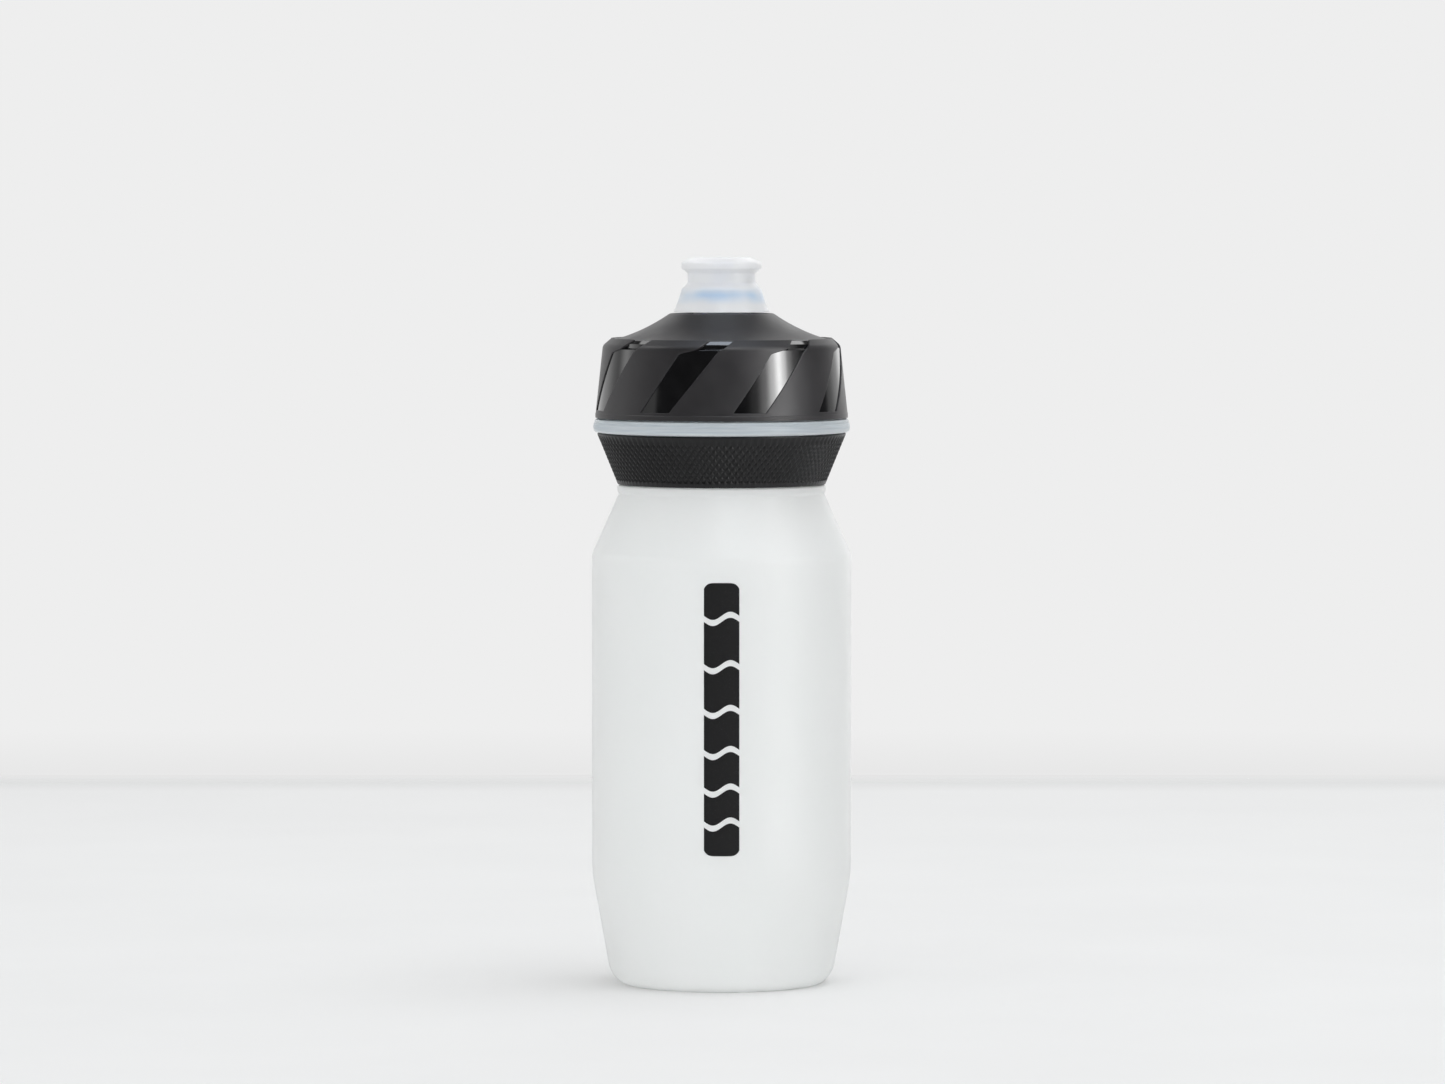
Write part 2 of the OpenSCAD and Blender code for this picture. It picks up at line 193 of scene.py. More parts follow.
class Look:
    """A Principled material, and the node chains that looks share. Sizes of patterns are in millimetres.

    Its plain colour and roughness stay under the nodes, for a viewer that doesn't run them.
    """

    def __init__(self, name, colour, roughness, **sockets):
        self.mat = bpy.data.materials.new(name)
        self.mat.use_nodes = True
        self.tree = self.mat.node_tree
        self.shader = self.tree.nodes["Principled BSDF"]
        self.shader.inputs["Base Color"].default_value = (*colour, 1)
        self.shader.inputs["Roughness"].default_value = roughness
        for socket, value in sockets.items():
            self.shader.inputs[socket.replace("_", " ")].default_value = value
        self.node = partial(add_node, self.tree)
        self.space = self.node("ShaderNodeTexCoord").outputs["Object"]

    def axis(self, name):
        """The place along the object's own X, Y or Z, in metres."""
        return self.node("ShaderNodeSeparateXYZ", Vector=self.space).outputs[name]

    def scaled(self, size, stretch=(1, 1, 1)):
        """The object's space in units of that size, drawn out along an axis by stretch."""
        scale = tuple(1 / (size * MM * s) for s in stretch)
        return self.node("ShaderNodeMapping", Vector=self.space, Scale=scale).outputs[0]

    def noise(self, size, detail, stretch=(1, 1, 1), roughness=0.5):
        """Noise with blotches of that size, drawn out along an axis by stretch."""
        space = self.scaled(size, stretch)
        made = self.node("ShaderNodeTexNoise", Vector=space, Scale=1.0, Detail=detail, Roughness=roughness)
        return made.outputs["Fac"]

    def cells(self, size):
        """Distance to the nearest of scattered points, about that size apart."""
        return self.node("ShaderNodeTexVoronoi", Vector=self.scaled(size), Scale=1.0).outputs["Distance"]

    def spread(self, value, low, high, out_low=0.0, out_high=1.0):
        """value between low and high, spread over the output range."""
        return self.node("ShaderNodeMapRange", Value=value, From_Min=low, From_Max=high, To_Min=out_low,
                         To_Max=out_high).outputs[0]

    def add(self, a, b, share):
        """a plus that share of b."""
        return self.node("ShaderNodeMath", {"operation": "MULTIPLY_ADD"}, i0=b, i1=share, i2=a).outputs[0]

    def times(self, a, b):
        """The product of two values."""
        return self.node("ShaderNodeMath", {"operation": "MULTIPLY"}, i0=a, i1=b).outputs[0]

    def tint(self, value, *colours):
        """The colour that value, from 0 to 1, gives between two colours. A colour may be a socket."""
        a, b = (c if isinstance(c, bpy.types.NodeSocket) else (*c, 1) for c in colours)
        return self.node("ShaderNodeMix", {"data_type": "RGBA"}, i0=value, i6=a, i7=b).outputs[2]

    def colour(self, socket):
        """The surface's colour."""
        self.tree.links.new(socket, self.shader.inputs["Base Color"])

    def tint_over(self, share, colour):
        """A colour laid by that share over the surface's colour."""
        plain = self.shader.inputs["Base Color"].links[0].from_socket
        self.colour(self.tint(share, plain, colour))

    def rough(self, socket):
        """The surface's roughness."""
        self.tree.links.new(socket, self.shader.inputs["Roughness"])

    def bump(self, height, depth, strength):
        """Bump of that depth on the surface."""
        made = self.node("ShaderNodeBump", Height=height, Strength=strength, Distance=depth * MM)
        self.tree.links.new(made.outputs[0], self.shader.inputs["Normal"])


def frosted_plastic(name, pale, deep, roughness, clear, cloud, grain, relief=0.35, ior=1.5, gloss=0.3):
    """Unpigmented plastic that lets light through without showing what is behind it.

    Its colour drifts between pale and deep. clear is the share of light that goes through, and cloud and grain
    are the sizes of its blotches and of its surface's grain.
    """
    look = Look(name, pale, roughness, Transmission_Weight=clear, IOR=ior, Specular_IOR_Level=gloss)
    clouds = look.noise(cloud, 3.0, (1, 1, 2.2))
    look.colour(look.tint(look.spread(clouds, 0.3, 0.7), pale, deep))
    look.rough(look.spread(look.noise(cloud / 3, 2.0), 0.3, 0.7, roughness - 0.05, roughness + 0.06))
    look.bump(look.add(look.noise(grain, 3.0), look.noise(cloud / 2, 1.0, (1, 1, 5)), 0.6), 0.02, relief)
    return look


def bottle_look():
    """Natural polyethylene, bluer where it is thick, above the grip band. There it is also darker, with pale
    and dark streaks: painted shade from the dark cap and band behind it, and painted streaks of light.
    """
    look = frosted_plastic("frosted_natural", (0.99, 0.995, 0.992), (0.975, 0.985, 0.98),
                           0.42, 0.45, 16.0, 0.5)
    height = look.axis("Z")
    above_band = look.spread(height, 155.5 * MM, 157.5 * MM)
    less_on_neck = look.spread(height, 160.0 * MM, 160.8 * MM, 1.0, 0.3)
    # Painted shade and painted light: a darker blue-grey over the flange stands in for the dark parts seen
    # through it, and its streaks stand in for streaks of light. The blue cast is the thick plastic's own.
    painted_light_streaks = look.spread(look.noise(1.0, 2.0, (14, 14, 0.5)), 0.3, 0.7)
    thick_blue_and_painted_shade = look.tint(painted_light_streaks, (0.64, 0.71, 0.76), (0.82, 0.87, 0.90))
    look.tint_over(look.times(above_band, less_on_neck), thick_blue_and_painted_shade)
    return look.mat


def mouthpiece_look():
    """Milky silicone, with painted blue in blotches where the blue plug stands close behind. The blue stands
    in for the plug seen through the wall.
    """
    look = frosted_plastic("frosted_mouthpiece", (0.995, 0.996, 0.998), (0.98, 0.985, 0.99),
                           0.33, 0.42, 6.0, 0.3, relief=0.08, ior=1.38, gloss=0.18)
    height = look.axis("Z")
    above = look.spread(height, 192.5 * MM, 195.2 * MM)
    below = look.spread(height, 195.5 * MM, 197.8 * MM, 1.0, 0.0)
    patches = look.spread(look.noise(9.0, 1.0), 0.4, 0.6, 0.25, 1.0)
    # Painted light: a blue tint standing in for the plug seen through the wall.
    look.tint_over(look.times(look.times(above, below), patches), (0.68, 0.83, 0.985))
    return look.mat


def core_look():
    """Clear plastic. The mouthpiece is moulded over it, so little light is turned or lost at its faces."""
    return frosted_plastic("clear_core", (0.995, 0.996, 0.998), (0.985, 0.99, 0.993),
                           0.12, 0.95, 5.0, 0.3, relief=0.02, ior=1.08).mat


def silicone_look():
    """Pale silicone of the gasket and of the seal that the nozzle slides on."""
    return frosted_plastic("pale_silicone", (0.80, 0.83, 0.84), (0.72, 0.76, 0.78), 0.5, 0.3, 4.0, 0.25).mat


def soft_touch_look():
    """Charcoal elastomer with a very fine matt grain."""
    look = Look("soft_charcoal", (0.017, 0.0152, 0.017), 0.42, Specular_IOR_Level=0.5)
    patches = look.noise(7.0, 3.0)
    grain = look.noise(0.16, 2.0, roughness=0.7)
    tone = look.add(look.spread(patches, 0.35, 0.65, 0, 0.6), grain, 0.4)
    look.colour(look.tint(tone, (0.0125, 0.0112, 0.0128), (0.0185, 0.0168, 0.0188)))
    look.rough(look.spread(patches, 0.3, 0.7, 0.40, 0.47))
    look.bump(grain, 0.02, 0.8)
    return look.mat


def polished_look():
    """Moulded black plastic with a polish and the faint waves of a moulded face."""
    look = Look("polished_black", (0.004, 0.004, 0.0045), 0.09, Specular_IOR_Level=0.9)
    haze = look.noise(5.0, 3.0)
    look.colour(look.tint(look.spread(haze, 0.3, 0.7), (0.003, 0.003, 0.0035), (0.006, 0.006, 0.0065)))
    look.rough(look.spread(haze, 0.3, 0.7, 0.07, 0.13))
    look.bump(look.noise(3.0, 1.0, (1, 1, 1.6)), 0.012, 0.25)
    return look.mat


def rubber_look():
    """Black rubber, dusty in speckles and patches."""
    look = Look("band_rubber", (0.008, 0.008, 0.009), 0.42, Specular_IOR_Level=0.35)
    dust = look.noise(0.45, 4.0, roughness=0.65)
    patches = look.noise(9.0, 2.0)
    worn = look.add(look.spread(dust, 0.45, 0.75, 0, 0.6), look.spread(patches, 0.3, 0.7), 0.35)
    look.colour(look.tint(worn, (0.002, 0.002, 0.0024), (0.006, 0.006, 0.0068)))
    look.rough(look.spread(dust, 0.3, 0.7, 0.36, 0.5))
    look.bump(look.noise(0.14, 2.0), 0.015, 0.5)
    return look.mat


def ink_look():
    """Screen-printed black ink with pinholes and a slight weave from the screen."""
    look = Look("printed_ink", (0.006, 0.006, 0.007), 0.45, Specular_IOR_Level=0.3)
    pores = look.cells(0.42)
    look.colour(look.tint(look.spread(pores, 0.03, 0.16), (0.07, 0.072, 0.076), (0.005, 0.005, 0.0055)))
    look.rough(look.spread(look.noise(1.2, 3.0), 0.3, 0.7, 0.36, 0.5))
    look.bump(pores, 0.01, 0.4)
    return look.mat


def blue_look():
    """Blue moulded plastic of the plug, with a little light going in under its surface."""
    look = Look("plug_blue", (0.10, 0.32, 0.80), 0.3, Specular_IOR_Level=0.5, Subsurface_Weight=0.15,
                Subsurface_Scale=0.002)
    haze = look.noise(2.5, 3.0)
    look.colour(look.tint(look.spread(haze, 0.3, 0.7), (0.085, 0.29, 0.76), (0.12, 0.35, 0.84)))
    look.rough(look.spread(haze, 0.3, 0.7, 0.25, 0.36))
    look.bump(look.noise(0.3, 2.0), 0.01, 0.3)
    return look.mat


def seal_look():
    """Black seal rubber with a faint grey bloom."""
    look = Look("seal_rubber", (0.02, 0.02, 0.02), 0.5, Specular_IOR_Level=0.45)
    bloom = look.noise(0.8, 4.0)
    look.colour(look.tint(look.spread(bloom, 0.35, 0.7), (0.016, 0.016, 0.017), (0.03, 0.03, 0.032)))
    look.rough(look.spread(bloom, 0.3, 0.7, 0.42, 0.56))
    look.bump(look.noise(0.12, 2.0), 0.01, 0.4)
    return look.mat


# ---------------------------------------------------------------- sizes shared by several pieces
# A pair is a radius and a height.

# The bottle, from its foot up to its rim.
BODY_R = 36.75
WALL = 1.2
FOOT_R, FOOT_W, BASE_RISE = 27.0, 1.5, 3.0
HEEL = (32.15, 6.0)
TAPER_Z, SHOULDER_Z = 31.6, 121.9
WAIST = (29.1, 139.1)
BAND_LOW, BAND_HIGH = (29.4, 141.7), (35.35, 156.25)
BAND_T = 1.8
BAND_SLOPE = (BAND_HIGH[0] - BAND_LOW[0]) / (BAND_HIGH[1] - BAND_LOW[1])
SEAT_LOW, FLANGE_LOW, FLANGE_TOP = 141.5, 156.5, 160.2
NECK_R, MOUTH_R = 29.0, 27.3
NECK_LOW, NECK_HIGH, RIM_Z = 161.0, 177.8, 178.6

# The threads: rise for each turn, turns, ridge height, ridge width at its crest and root, and the angle over
# which an end fades out.
LEAD, TURNS = 6.0, 1.6
THREAD_H, THREAD_CREST, THREAD_ROOT = 1.4, 1.0, 2.25
THREAD_END = 40

# The cap, with its eight windows in the soft layer.
CAP_LOW = 160.6
CAP_BORE = 30.8
LIP = (31.4, 183.05)
SKIRT_Z = 181.0
WINDOWS = 8
WINDOW_Z = 162.8

# How many columns of faces the large turned pieces have.
FINE_COLUMNS = 256


def ridge(z, middle):
    """Height of a thread's ridge at z, where its middle is at middle."""
    half = (THREAD_ROOT - THREAD_CREST) / 2
    return THREAD_H * min(1, max(0, (THREAD_ROOT / 2 - abs(z - middle)) / half))


def thread(angle, z, low, start):
    """Height of a single-start thread at a place on its wall.

    Its lower end is at the height low and the angle start. Its ends fade out over THREAD_END degrees.
    """
    best = 0
    for turn in range(math.ceil(TURNS) + 1):
        wound = (angle - start) % 360 + 360 * turn
        if wound <= 360 * TURNS:
            fade = smooth(0, THREAD_END, wound) * smooth(0, THREAD_END, 360 * TURNS - wound)
            best = max(best, fade * ridge(z, low + LEAD * wound / 360))
    return best


# ---------------------------------------------------------------- bottle

def blown_wall(inset):
    """The blown wall from the base's centre to the top of the shoulder, moved inward by inset."""
    dome_edge = FOOT_R - FOOT_W
    dome_r = (dome_edge ** 2 + BASE_RISE ** 2) / (2 * BASE_RISE)
    dome_angle = math.asin(dome_edge / dome_r)
    slope = (BODY_R - HEEL[0]) / (TAPER_Z - HEEL[1])
    swell = HEEL[0] - FOOT_R - slope * HEEL[1]
    line = []
    dome_steps = 12
    for k in range(dome_steps + 1):
        a = dome_angle * k / dome_steps
        line.append((dome_r * math.sin(a), inset + BASE_RISE - dome_r * (1 - math.cos(a))))
    for degrees in range(0, 90, 6):
        a = math.radians(degrees)
        z = inset + (HEEL[1] - inset) * (1 - math.cos(a))
        line.append((FOOT_R + (swell - inset) * math.sin(a) + slope * z, z))
    heel = (HEEL[0] - inset, HEEL[1])
    taper = (BODY_R - inset, TAPER_Z, 42)
    shoulder = (BODY_R - inset, SHOULDER_Z, 6)
    waist = (WAIST[0] - inset, WAIST[1])
    upper = rounded([heel, taper, shoulder, waist], 3.0)
    return line + refined(upper, 4.0)


def band_seat(z):
    """Radius of the bottle's cone under the grip band."""
    return BAND_LOW[0] - BAND_T + BAND_SLOPE * (z - BAND_LOW[1])


def bottle_outline():
    """The bottle's section, from the base's centre up the outside and back down the inside."""
    bead = rounded([WAIST, (29.5, 139.85, 0.35), (29.5, 141.05, 0.35), (29.1, 141.45, 0.15),
                    (band_seat(SEAT_LOW), SEAT_LOW)])
    seat_top = FLANGE_LOW - 0.1
    seat = [(band_seat(seat_top), seat_top)]
    flange = rounded([(band_seat(FLANGE_LOW), FLANGE_LOW), (35.6, FLANGE_LOW, 0.3), (36.2, 156.95, 0.7),
                      (36.36, 158.1, 1.6), (36.18, 159.0, 0.3), (35.9, 159.15, 0.1), (35.98, 159.35, 0.1),
                      (35.98, 159.75, 0.3), (35.5, FLANGE_TOP, 0.35), (NECK_R, FLANGE_TOP, 0.4),
                      (NECK_R, NECK_LOW)])
    neck = rows((NECK_R, NECK_LOW), (NECK_R, NECK_HIGH), 84)
    rim = rounded([(NECK_R, NECK_HIGH), (NECK_R, RIM_Z, 0.5), (MOUTH_R, RIM_Z, 0.4), (MOUTH_R, 176)])
    inner = [(MOUTH_R, FLANGE_TOP), (band_seat(FLANGE_LOW) - 1.4 * WALL, 155.3),
             (band_seat(SEAT_LOW) - WALL, SEAT_LOW)]
    return (blown_wall(0) + bead[1:] + seat + flange + neck + rim[1:] + refined(inner, 3.0)
            + blown_wall(WALL)[::-1])


def neck_thread(angle, r, z):
    """A point's radius with the thread on the neck's outside."""
    on_neck = abs(r - NECK_R) < 0.01 and NECK_LOW < z < NECK_HIGH + 0.1
    return r + thread(angle, z, low=166.0, start=90) if on_neck else r


def make_bottle(look):
    """The hollow bottle."""
    verts, faces, _ = lathe(bottle_outline(), FINE_COLUMNS, neck_thread)
    made = piece("bottle", verts, faces, "bottle", [look])
    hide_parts("bottle_body")


# ---------------------------------------------------------------- grip band

# The knurl's diamonds: how many go round, the mesh's points across one, one's height, the heights where they
# end and fade out, and the grooves' depth and steepness.
KNURLS = 110
KNURL_SAMPLES = 8
KNURL_PERIOD = 2.45
KNURL_LOW, KNURL_HIGH = 142.9, 154.5
KNURL_FADE = 0.3
KNURL_DEPTH = 0.5
GROOVE_SLOPE = 1.7


def knurl(angle, z):
    """Depth of the crossed grooves at a place on the band."""
    if not KNURL_LOW < z < KNURL_HIGH:
        return 0
    round_band = KNURLS * angle / 360
    up = (z - KNURL_LOW) / KNURL_PERIOD
    gap = min(abs((round_band + side * up + 0.5) % 1 - 0.5) * 2 for side in (-1, 1))
    fade_low = smooth(KNURL_LOW, KNURL_LOW + KNURL_FADE, z)
    fade_high = 1 - smooth(KNURL_HIGH - KNURL_FADE, KNURL_HIGH, z)
    return KNURL_DEPTH * min(fade_low, fade_high) * (1 - min(1, gap * GROOVE_SLOPE))


def make_band(look):
    """The rubber band on the bottle's cone, with its knurl as real grooves."""
    def outer(z):
        """Radius of the band's raised faces."""
        return BAND_LOW[0] + BAND_SLOPE * (z - BAND_LOW[1])

    def grooved(angle, r, z):
        """A point's radius with the knurl on the band's outside."""
        return r - knurl(angle, z) if r > outer(z) - 0.05 else r

    step = KNURL_PERIOD / KNURL_SAMPLES
    heights = [KNURL_LOW + step * k for k in range(int((KNURL_HIGH - KNURL_LOW) / step) + 1)]
    grid = [(outer(z), z) for z in heights]
    corner = 0.35
    low = rounded([(band_seat(BAND_LOW[1]), BAND_LOW[1]), (*BAND_LOW, corner), grid[0]])
    high = rounded([grid[-1], (*BAND_HIGH, corner), (band_seat(BAND_HIGH[1]), BAND_HIGH[1])])
    verts, faces, _ = lathe(low + grid[1:-1] + high, KNURLS * KNURL_SAMPLES, grooved)
    made = piece("grip_band_knurled", verts, faces, "bottle", [look], sharp=60)
    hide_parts("grip_band")


# ---------------------------------------------------------------- cap

STEP_Z, STEP_R = 162.0, 35.65
SKIRT_LEAN = 0.107


def skirt_r(z):
    """Radius of the cap's skirt between the step at its foot and the round corner at its top."""
    return STEP_R - SKIRT_LEAN * (z - STEP_Z)


# The soft layer's outside: a step at the foot, the leaning skirt, the round corner and the lip by the cone.
SKIRT = rounded([(35.75, CAP_LOW), (35.75, 161.85, 0.08), (STEP_R, STEP_Z, 0.1),
                 (skirt_r(SKIRT_Z), SKIRT_Z, 2.2), LIP])

# How far the soft layer stands above the polished shell, and how much deeper it reaches at the windows' tops.
LAYER, LAYER_FILL = 0.3, 0.7


def skirt_at(z):
    """Radius of the soft layer's outside at height z, and the slope of its surface there."""
    for a, b in zip(SKIRT, SKIRT[1:]):
        if z <= b[1] + 1e-9:
            break
    t = (z - a[1]) / (b[1] - a[1])
    return blend(a[0], b[0], t), (b[0] - a[0]) / (b[1] - a[1])


def make_shell(polished, matt):
    """The hard cap: a polished skirt seen in the windows, a matt cone, the spout's well and a thread."""
    low_r = skirt_r(STEP_Z) - LAYER
    groove = (31.0, 182.45)
    outside = rounded([(low_r, CAP_LOW), (low_r, STEP_Z, 0.1), (skirt_r(180.5) - LAYER, 180.35, 0.35),
                       (32.35, 180.62, 0.1), (32.25, 181.8, 0.1), (31.22, 182.8, 0.08), groove])
    cone = curve(groove, (22.3, 184.7), (14.7, 190.0), 40)
    post_hole, post_seat = 6.95, 12.0
    well = rounded([(14.9, 189.85), (14.55, 190.02, 0.3), (10.4, 190.0, 0.5), (10.4, 182.6, 0.3),
                    (post_hole, 182.6), (post_hole, 181.2), (post_seat, 181.2)])
    under = curve((post_seat, 188.2), (20.5, 183.3), (26.0, 181.8), 12)
    deck_z, bore_low = 180.3, 161.4
    deck = [(26.0, deck_z), (CAP_BORE, deck_z)]
    bore = rows((CAP_BORE, deck_z), (CAP_BORE, bore_low), 90) + [(31.4, CAP_LOW)]

    def zone(r, z):
        """0 for the polished outside of the skirt, and 1 for the rest."""
        return 0 if r > groove[0] and z > CAP_LOW + 0.1 else 1

    def inner_thread(angle, r, z):
        """A point's radius with the thread on the bore."""
        on_bore = abs(r - CAP_BORE) < 0.01 and bore_low + 0.1 < z < 179
        return r - thread(angle, z, low=163.7, start=60) if on_bore else r

    outline = outside + cone[1:-1] + well + under + deck + bore
    verts, faces, zones = lathe(outline, FINE_COLUMNS, inner_thread, zone)
    made = piece("cap_hard_shell", verts, faces, "cap", [polished, matt], zones)
    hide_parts("cap_shell")


# The first window's left and right edges: the angle at its foot, and the lean in degrees for a millimetre up.
# Round the skirt's corner both lean more, and the left one steps to the right.
WINDOW_EDGES = ((5.3, 1.16), (20.4, 1.33))
CORNER_Z, CORNER_LEAN = 179.4, 2.4
CORNER_STEP = 5.6


def window_edge(z, side):
    """Angle of the first window's edge at height z: side 0 is its left and 1 its right."""
    foot, lean = WINDOW_EDGES[side]
    angle = foot + lean * (min(z, CORNER_Z) - WINDOW_Z) + CORNER_LEAN * max(0, z - CORNER_Z)
    return angle if side else angle + CORNER_STEP * smooth(179.0, 180.7, z)


# The rounded rim of a window: how far each ring of points is from the edge, and how deep.
EDGE = ((0.34, 0.0), (0.15, 0.0), (0.075, 0.02), (0.02, 0.075), (0.0, 0.15), (0.0, 1.0))
LAND_COLUMNS, WINDOW_COLUMNS = 14, 10


def layer_depth(z, depth):
    """A depth under the soft layer's outside, kept within the layer.

    The layer fills the ledge at the windows' tops and ends in a thin lip.
    """
    return min(depth, LAYER + LAYER_FILL * smooth(179.9, 180.5, z) - LAYER_FILL * smooth(181, 183, z))


def on_skirt(angle, z, depth):
    """A point of the soft layer at an angle and height, that deep under its outside."""
    r, slope = skirt_at(z)
    long = math.hypot(1, slope)
    depth = layer_depth(z, depth)
    return turned(angle, r - depth / long, z + depth * slope / long)


def edge_shift(z, side, offset):
    """Angle that moves a point by offset, square to a window's edge, away from the window."""
    r = skirt_at(z)[0]
    near = 0.02
    lean = math.radians(window_edge(z + near, side) - window_edge(z - near, side)) / (2 * near) * r
    return math.degrees(offset * math.hypot(1, lean) / r) * (1 if side else -1)


def make_soft_layer(look):
    """The soft layer over the skirt, as a lattice of columns that leans with the windows' edges."""
    low = [z for _, z in SKIRT if z < WINDOW_Z - 0.5] + [WINDOW_Z - EDGE[0][0]]
    wall = [WINDOW_Z + 0.4 + 0.8 * k for k in range(20)]
    corner = [178.9 + 0.13 * k for k in range(14)]
    crown = [z for _, z in SKIRT if corner[-1] + 0.05 < z < LIP[1] - 0.3]
    high = sorted({*wall, *corner, *crown, 181.7, 182.1, 182.5, 182.8, LIP[1]})
    verts, faces, known = [], [], {}

    def vertex(key, place):
        """The number of the key's vertex. place() says where a new one goes."""
        if key not in known:
            known[key] = len(verts)
            verts.append(place())
        return known[key]

    columns = WINDOW_COLUMNS + LAND_COLUMNS
    count = len(low) + len(high)
    foot_row = len(low) - 1
    last = len(EDGE) - 1

    def rim_angle(window, side, ring, z):
        """Angle of a ring of points along one side of a window."""
        return window_edge(z, side) + 360 / WINDOWS * window + edge_shift(z, side, EDGE[ring][0])

    def surface(window, column, row, ring):
        """A vertex on the outside (ring 0), the inside (last ring) or the window's rim between them.

        Columns run over a window and the land after it.
        """
        if column == columns:
            return surface(window + 1, 0, row, ring)
        window %= WINDOWS
        aside, depth = EDGE[ring]
        z = low[row] if row < len(low) else high[row - len(low)]
        if row == foot_row:
            z = WINDOW_Z - aside

        def where():
            edge_z = max(z, WINDOW_Z)
            left, right = (rim_angle(window, side, ring, edge_z) for side in (0, 1))
            after = rim_angle(window + 1, 0, ring, edge_z)
            if column <= WINDOW_COLUMNS:
                return on_skirt(blend(left, right, column / WINDOW_COLUMNS), z, depth)
            return on_skirt(blend(right, after, (column - WINDOW_COLUMNS) / LAND_COLUMNS), z, depth)

        return vertex((window, column, row, ring), where)

    def quad(window, *corners):
        """A face between four corners, each given as a column, a row and a ring."""
        face = tuple(surface(window, *corner) for corner in corners)
        if len(set(face)) > 2:
            faces.append(face)

    for window in range(WINDOWS):
        # The outside and the inside.
        for row in range(count - 1):
            first = 0 if row < foot_row else WINDOW_COLUMNS
            for c in range(first, columns):
                quad(window, (c, row, 0), (c + 1, row, 0), (c + 1, row + 1, 0), (c, row + 1, 0))
                quad(window, (c, row + 1, last), (c + 1, row + 1, last), (c + 1, row, last), (c, row, last))
        # The rounded rims: this window's foot and right side, and the left side of the next window.
        right, left = WINDOW_COLUMNS, columns
        for ring in range(last):
            deep = ring + 1
            for c in range(WINDOW_COLUMNS):
                quad(window, (c, foot_row, ring), (c + 1, foot_row, ring),
                     (c + 1, foot_row, deep), (c, foot_row, deep))
            for row in range(foot_row, count - 1):
                quad(window, (right, row, ring), (right, row + 1, ring),
                     (right, row + 1, deep), (right, row, deep))
                quad(window, (left, row + 1, ring), (left, row, ring),
                     (left, row, deep), (left, row + 1, deep))
        # The layer's lower edge, and its lip above the land with the lip's two ends.
        top = count - 1
        for c in range(columns):
            quad(window, (c + 1, 0, 0), (c, 0, 0), (c, 0, last), (c + 1, 0, last))
            if c >= WINDOW_COLUMNS:
                quad(window, (c, top, 0), (c + 1, top, 0), (c + 1, top, last), (c, top, last))
        faces.append(tuple(surface(window, right, top, ring) for ring in range(last, -1, -1)))
        faces.append(tuple(surface(window, left, top, ring) for ring in range(last + 1)))
    made = piece("cap_soft_layer", verts, faces, "cap", [look], sharp=50)
    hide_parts("cap_grip")


# ---------------------------------------------------------------- spout

def make_mouthpiece(look):
    """The soft mouthpiece with its bell, neck and flat-topped head."""
    bell = curve((13.6, 190.55), (12.2, 193.4), (11.25, 196.9), 16)
    outlet_r, head_r, top_z = 3.32, 11.33, 205.8
    core_top = (outlet_r, 204.66)
    outside = rounded([bell[-1], (9.6, 198.65, 0.5), (9.57, 201.5, 0.7), (head_r, 202.7, 0.55),
                       (head_r, 204.5, 0.7), (8.2, top_z, 1.2), (outlet_r, top_z, 0.3), core_top])
    inside = rounded([core_top, (9.38, 204.66), (9.98, 204.0), (9.98, 203.2), (8.78, 202.4), (8.78, 197.6),
                      (10.3, 196.6, 0.6), (11.0, 195.0, 1.5), (12.3, 190.5, 0.2)])
    foot = rounded([(12.4, 190.8), (12.5, 190.45, 0.2), (13.6, 190.45, 0.25), bell[1]])
    outline = foot[1:] + bell[2:-1] + outside + inside[1:-1]
    verts, faces, _ = lathe(refined(outline, 0.8), 160)
    made = piece("mouthpiece", verts, faces, "nozzle", [look])
    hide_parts("nozzle_sleeve")


# ---------------------------------------------------------------- printed mark

# The mark: half its width, the heights where its bars start and end, the gap between bars, how far a gap
# ripples, how much the ends are rounded, and the ink's radius and thickness.
PRINT_HALF = 4.95
PRINT_BARS = (39.2, 48.1, 57.6, 68.1, 79.6, 92.1, 105.6, 115.6)
PRINT_GAP = 1.7
PRINT_RIPPLE = 1.15
PRINT_ROUND = 1.6
PRINT_R = BODY_R + 0.01
PRINT_T = 0.06


def printed_patch(verts, faces, outline_at, columns, lines):
    """A thin closed sheet of ink on the bottle's wall.

    outline_at(s, t) gives the place across and the height at s of the sheet's width and t of its height.
    """
    first = len(verts)
    for t in range(lines + 1):
        for s in range(columns + 1):
            across, z = outline_at(s / columns, t / lines)
            for r in (PRINT_R + PRINT_T, PRINT_R):
                verts.append(turned(math.degrees(across / BODY_R), r, z))

    def at(s, t, side):
        """The number of a vertex on the ink's outside, side 0, or inside, side 1."""
        return first + 2 * (t * (columns + 1) + s) + side

    for t in range(lines):
        for s in range(columns):
            faces.append((at(s, t, 0), at(s + 1, t, 0), at(s + 1, t + 1, 0), at(s, t + 1, 0)))
            faces.append((at(s, t + 1, 1), at(s + 1, t + 1, 1), at(s + 1, t, 1), at(s, t, 1)))
    for s in range(columns):
        faces.append((at(s, 0, 1), at(s + 1, 0, 1), at(s + 1, 0, 0), at(s, 0, 0)))
        faces.append((at(s, lines, 0), at(s + 1, lines, 0), at(s + 1, lines, 1), at(s, lines, 1)))
    for t in range(lines):
        faces.append((at(0, t, 0), at(0, t + 1, 0), at(0, t + 1, 1), at(0, t, 1)))
        faces.append((at(columns, t, 1), at(columns, t + 1, 1), at(columns, t + 1, 0), at(columns, t, 0)))


